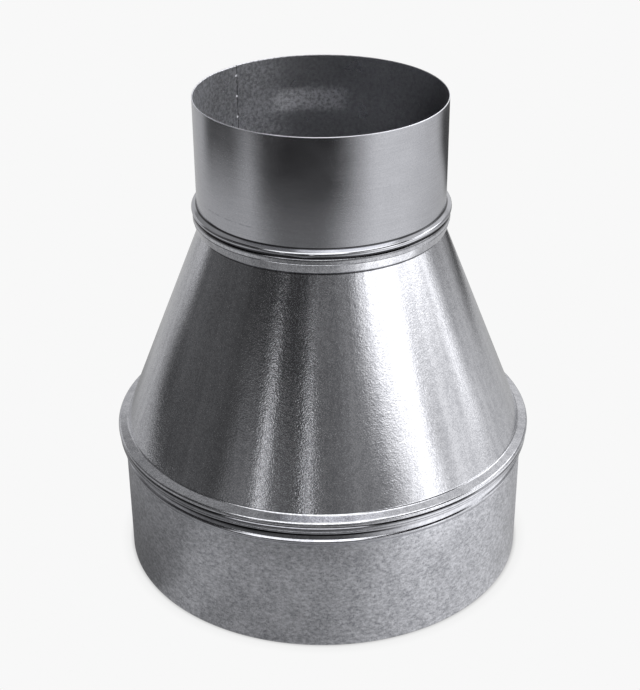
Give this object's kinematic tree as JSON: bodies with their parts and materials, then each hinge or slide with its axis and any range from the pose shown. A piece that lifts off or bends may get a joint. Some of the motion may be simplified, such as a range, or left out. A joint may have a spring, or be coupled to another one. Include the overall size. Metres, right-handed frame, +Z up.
{
  "type": "duct reducer",
  "caption": "Duct reducer of galvanised sheet steel: a cone between a small spigot and a large socket, joined by rolled lock seams.",
  "frame": {"origin": "on the duct's axis, in the plane of the large rim that the part stands on", "axes": "+Z up the duct's axis towards the small spigot, +Y away from the picture's view"},
  "size_m": [0.2592, 0.2592, 0.2982],
  "materials": {
    "smooth_galvanised": "smooth galvanised steel, faintly brushed round the collar",
    "spangled_galvanised": "bright galvanised steel with a fine spangle, streaked along the cone",
    "matte_galvanised": "dull mottled galvanised steel"
  },
  "bodies": {
    "root": {"small_collar": "smooth_galvanised", "cone": "spangled_galvanised", "large_collar": "matte_galvanised"}
  },
  "joints": []
}
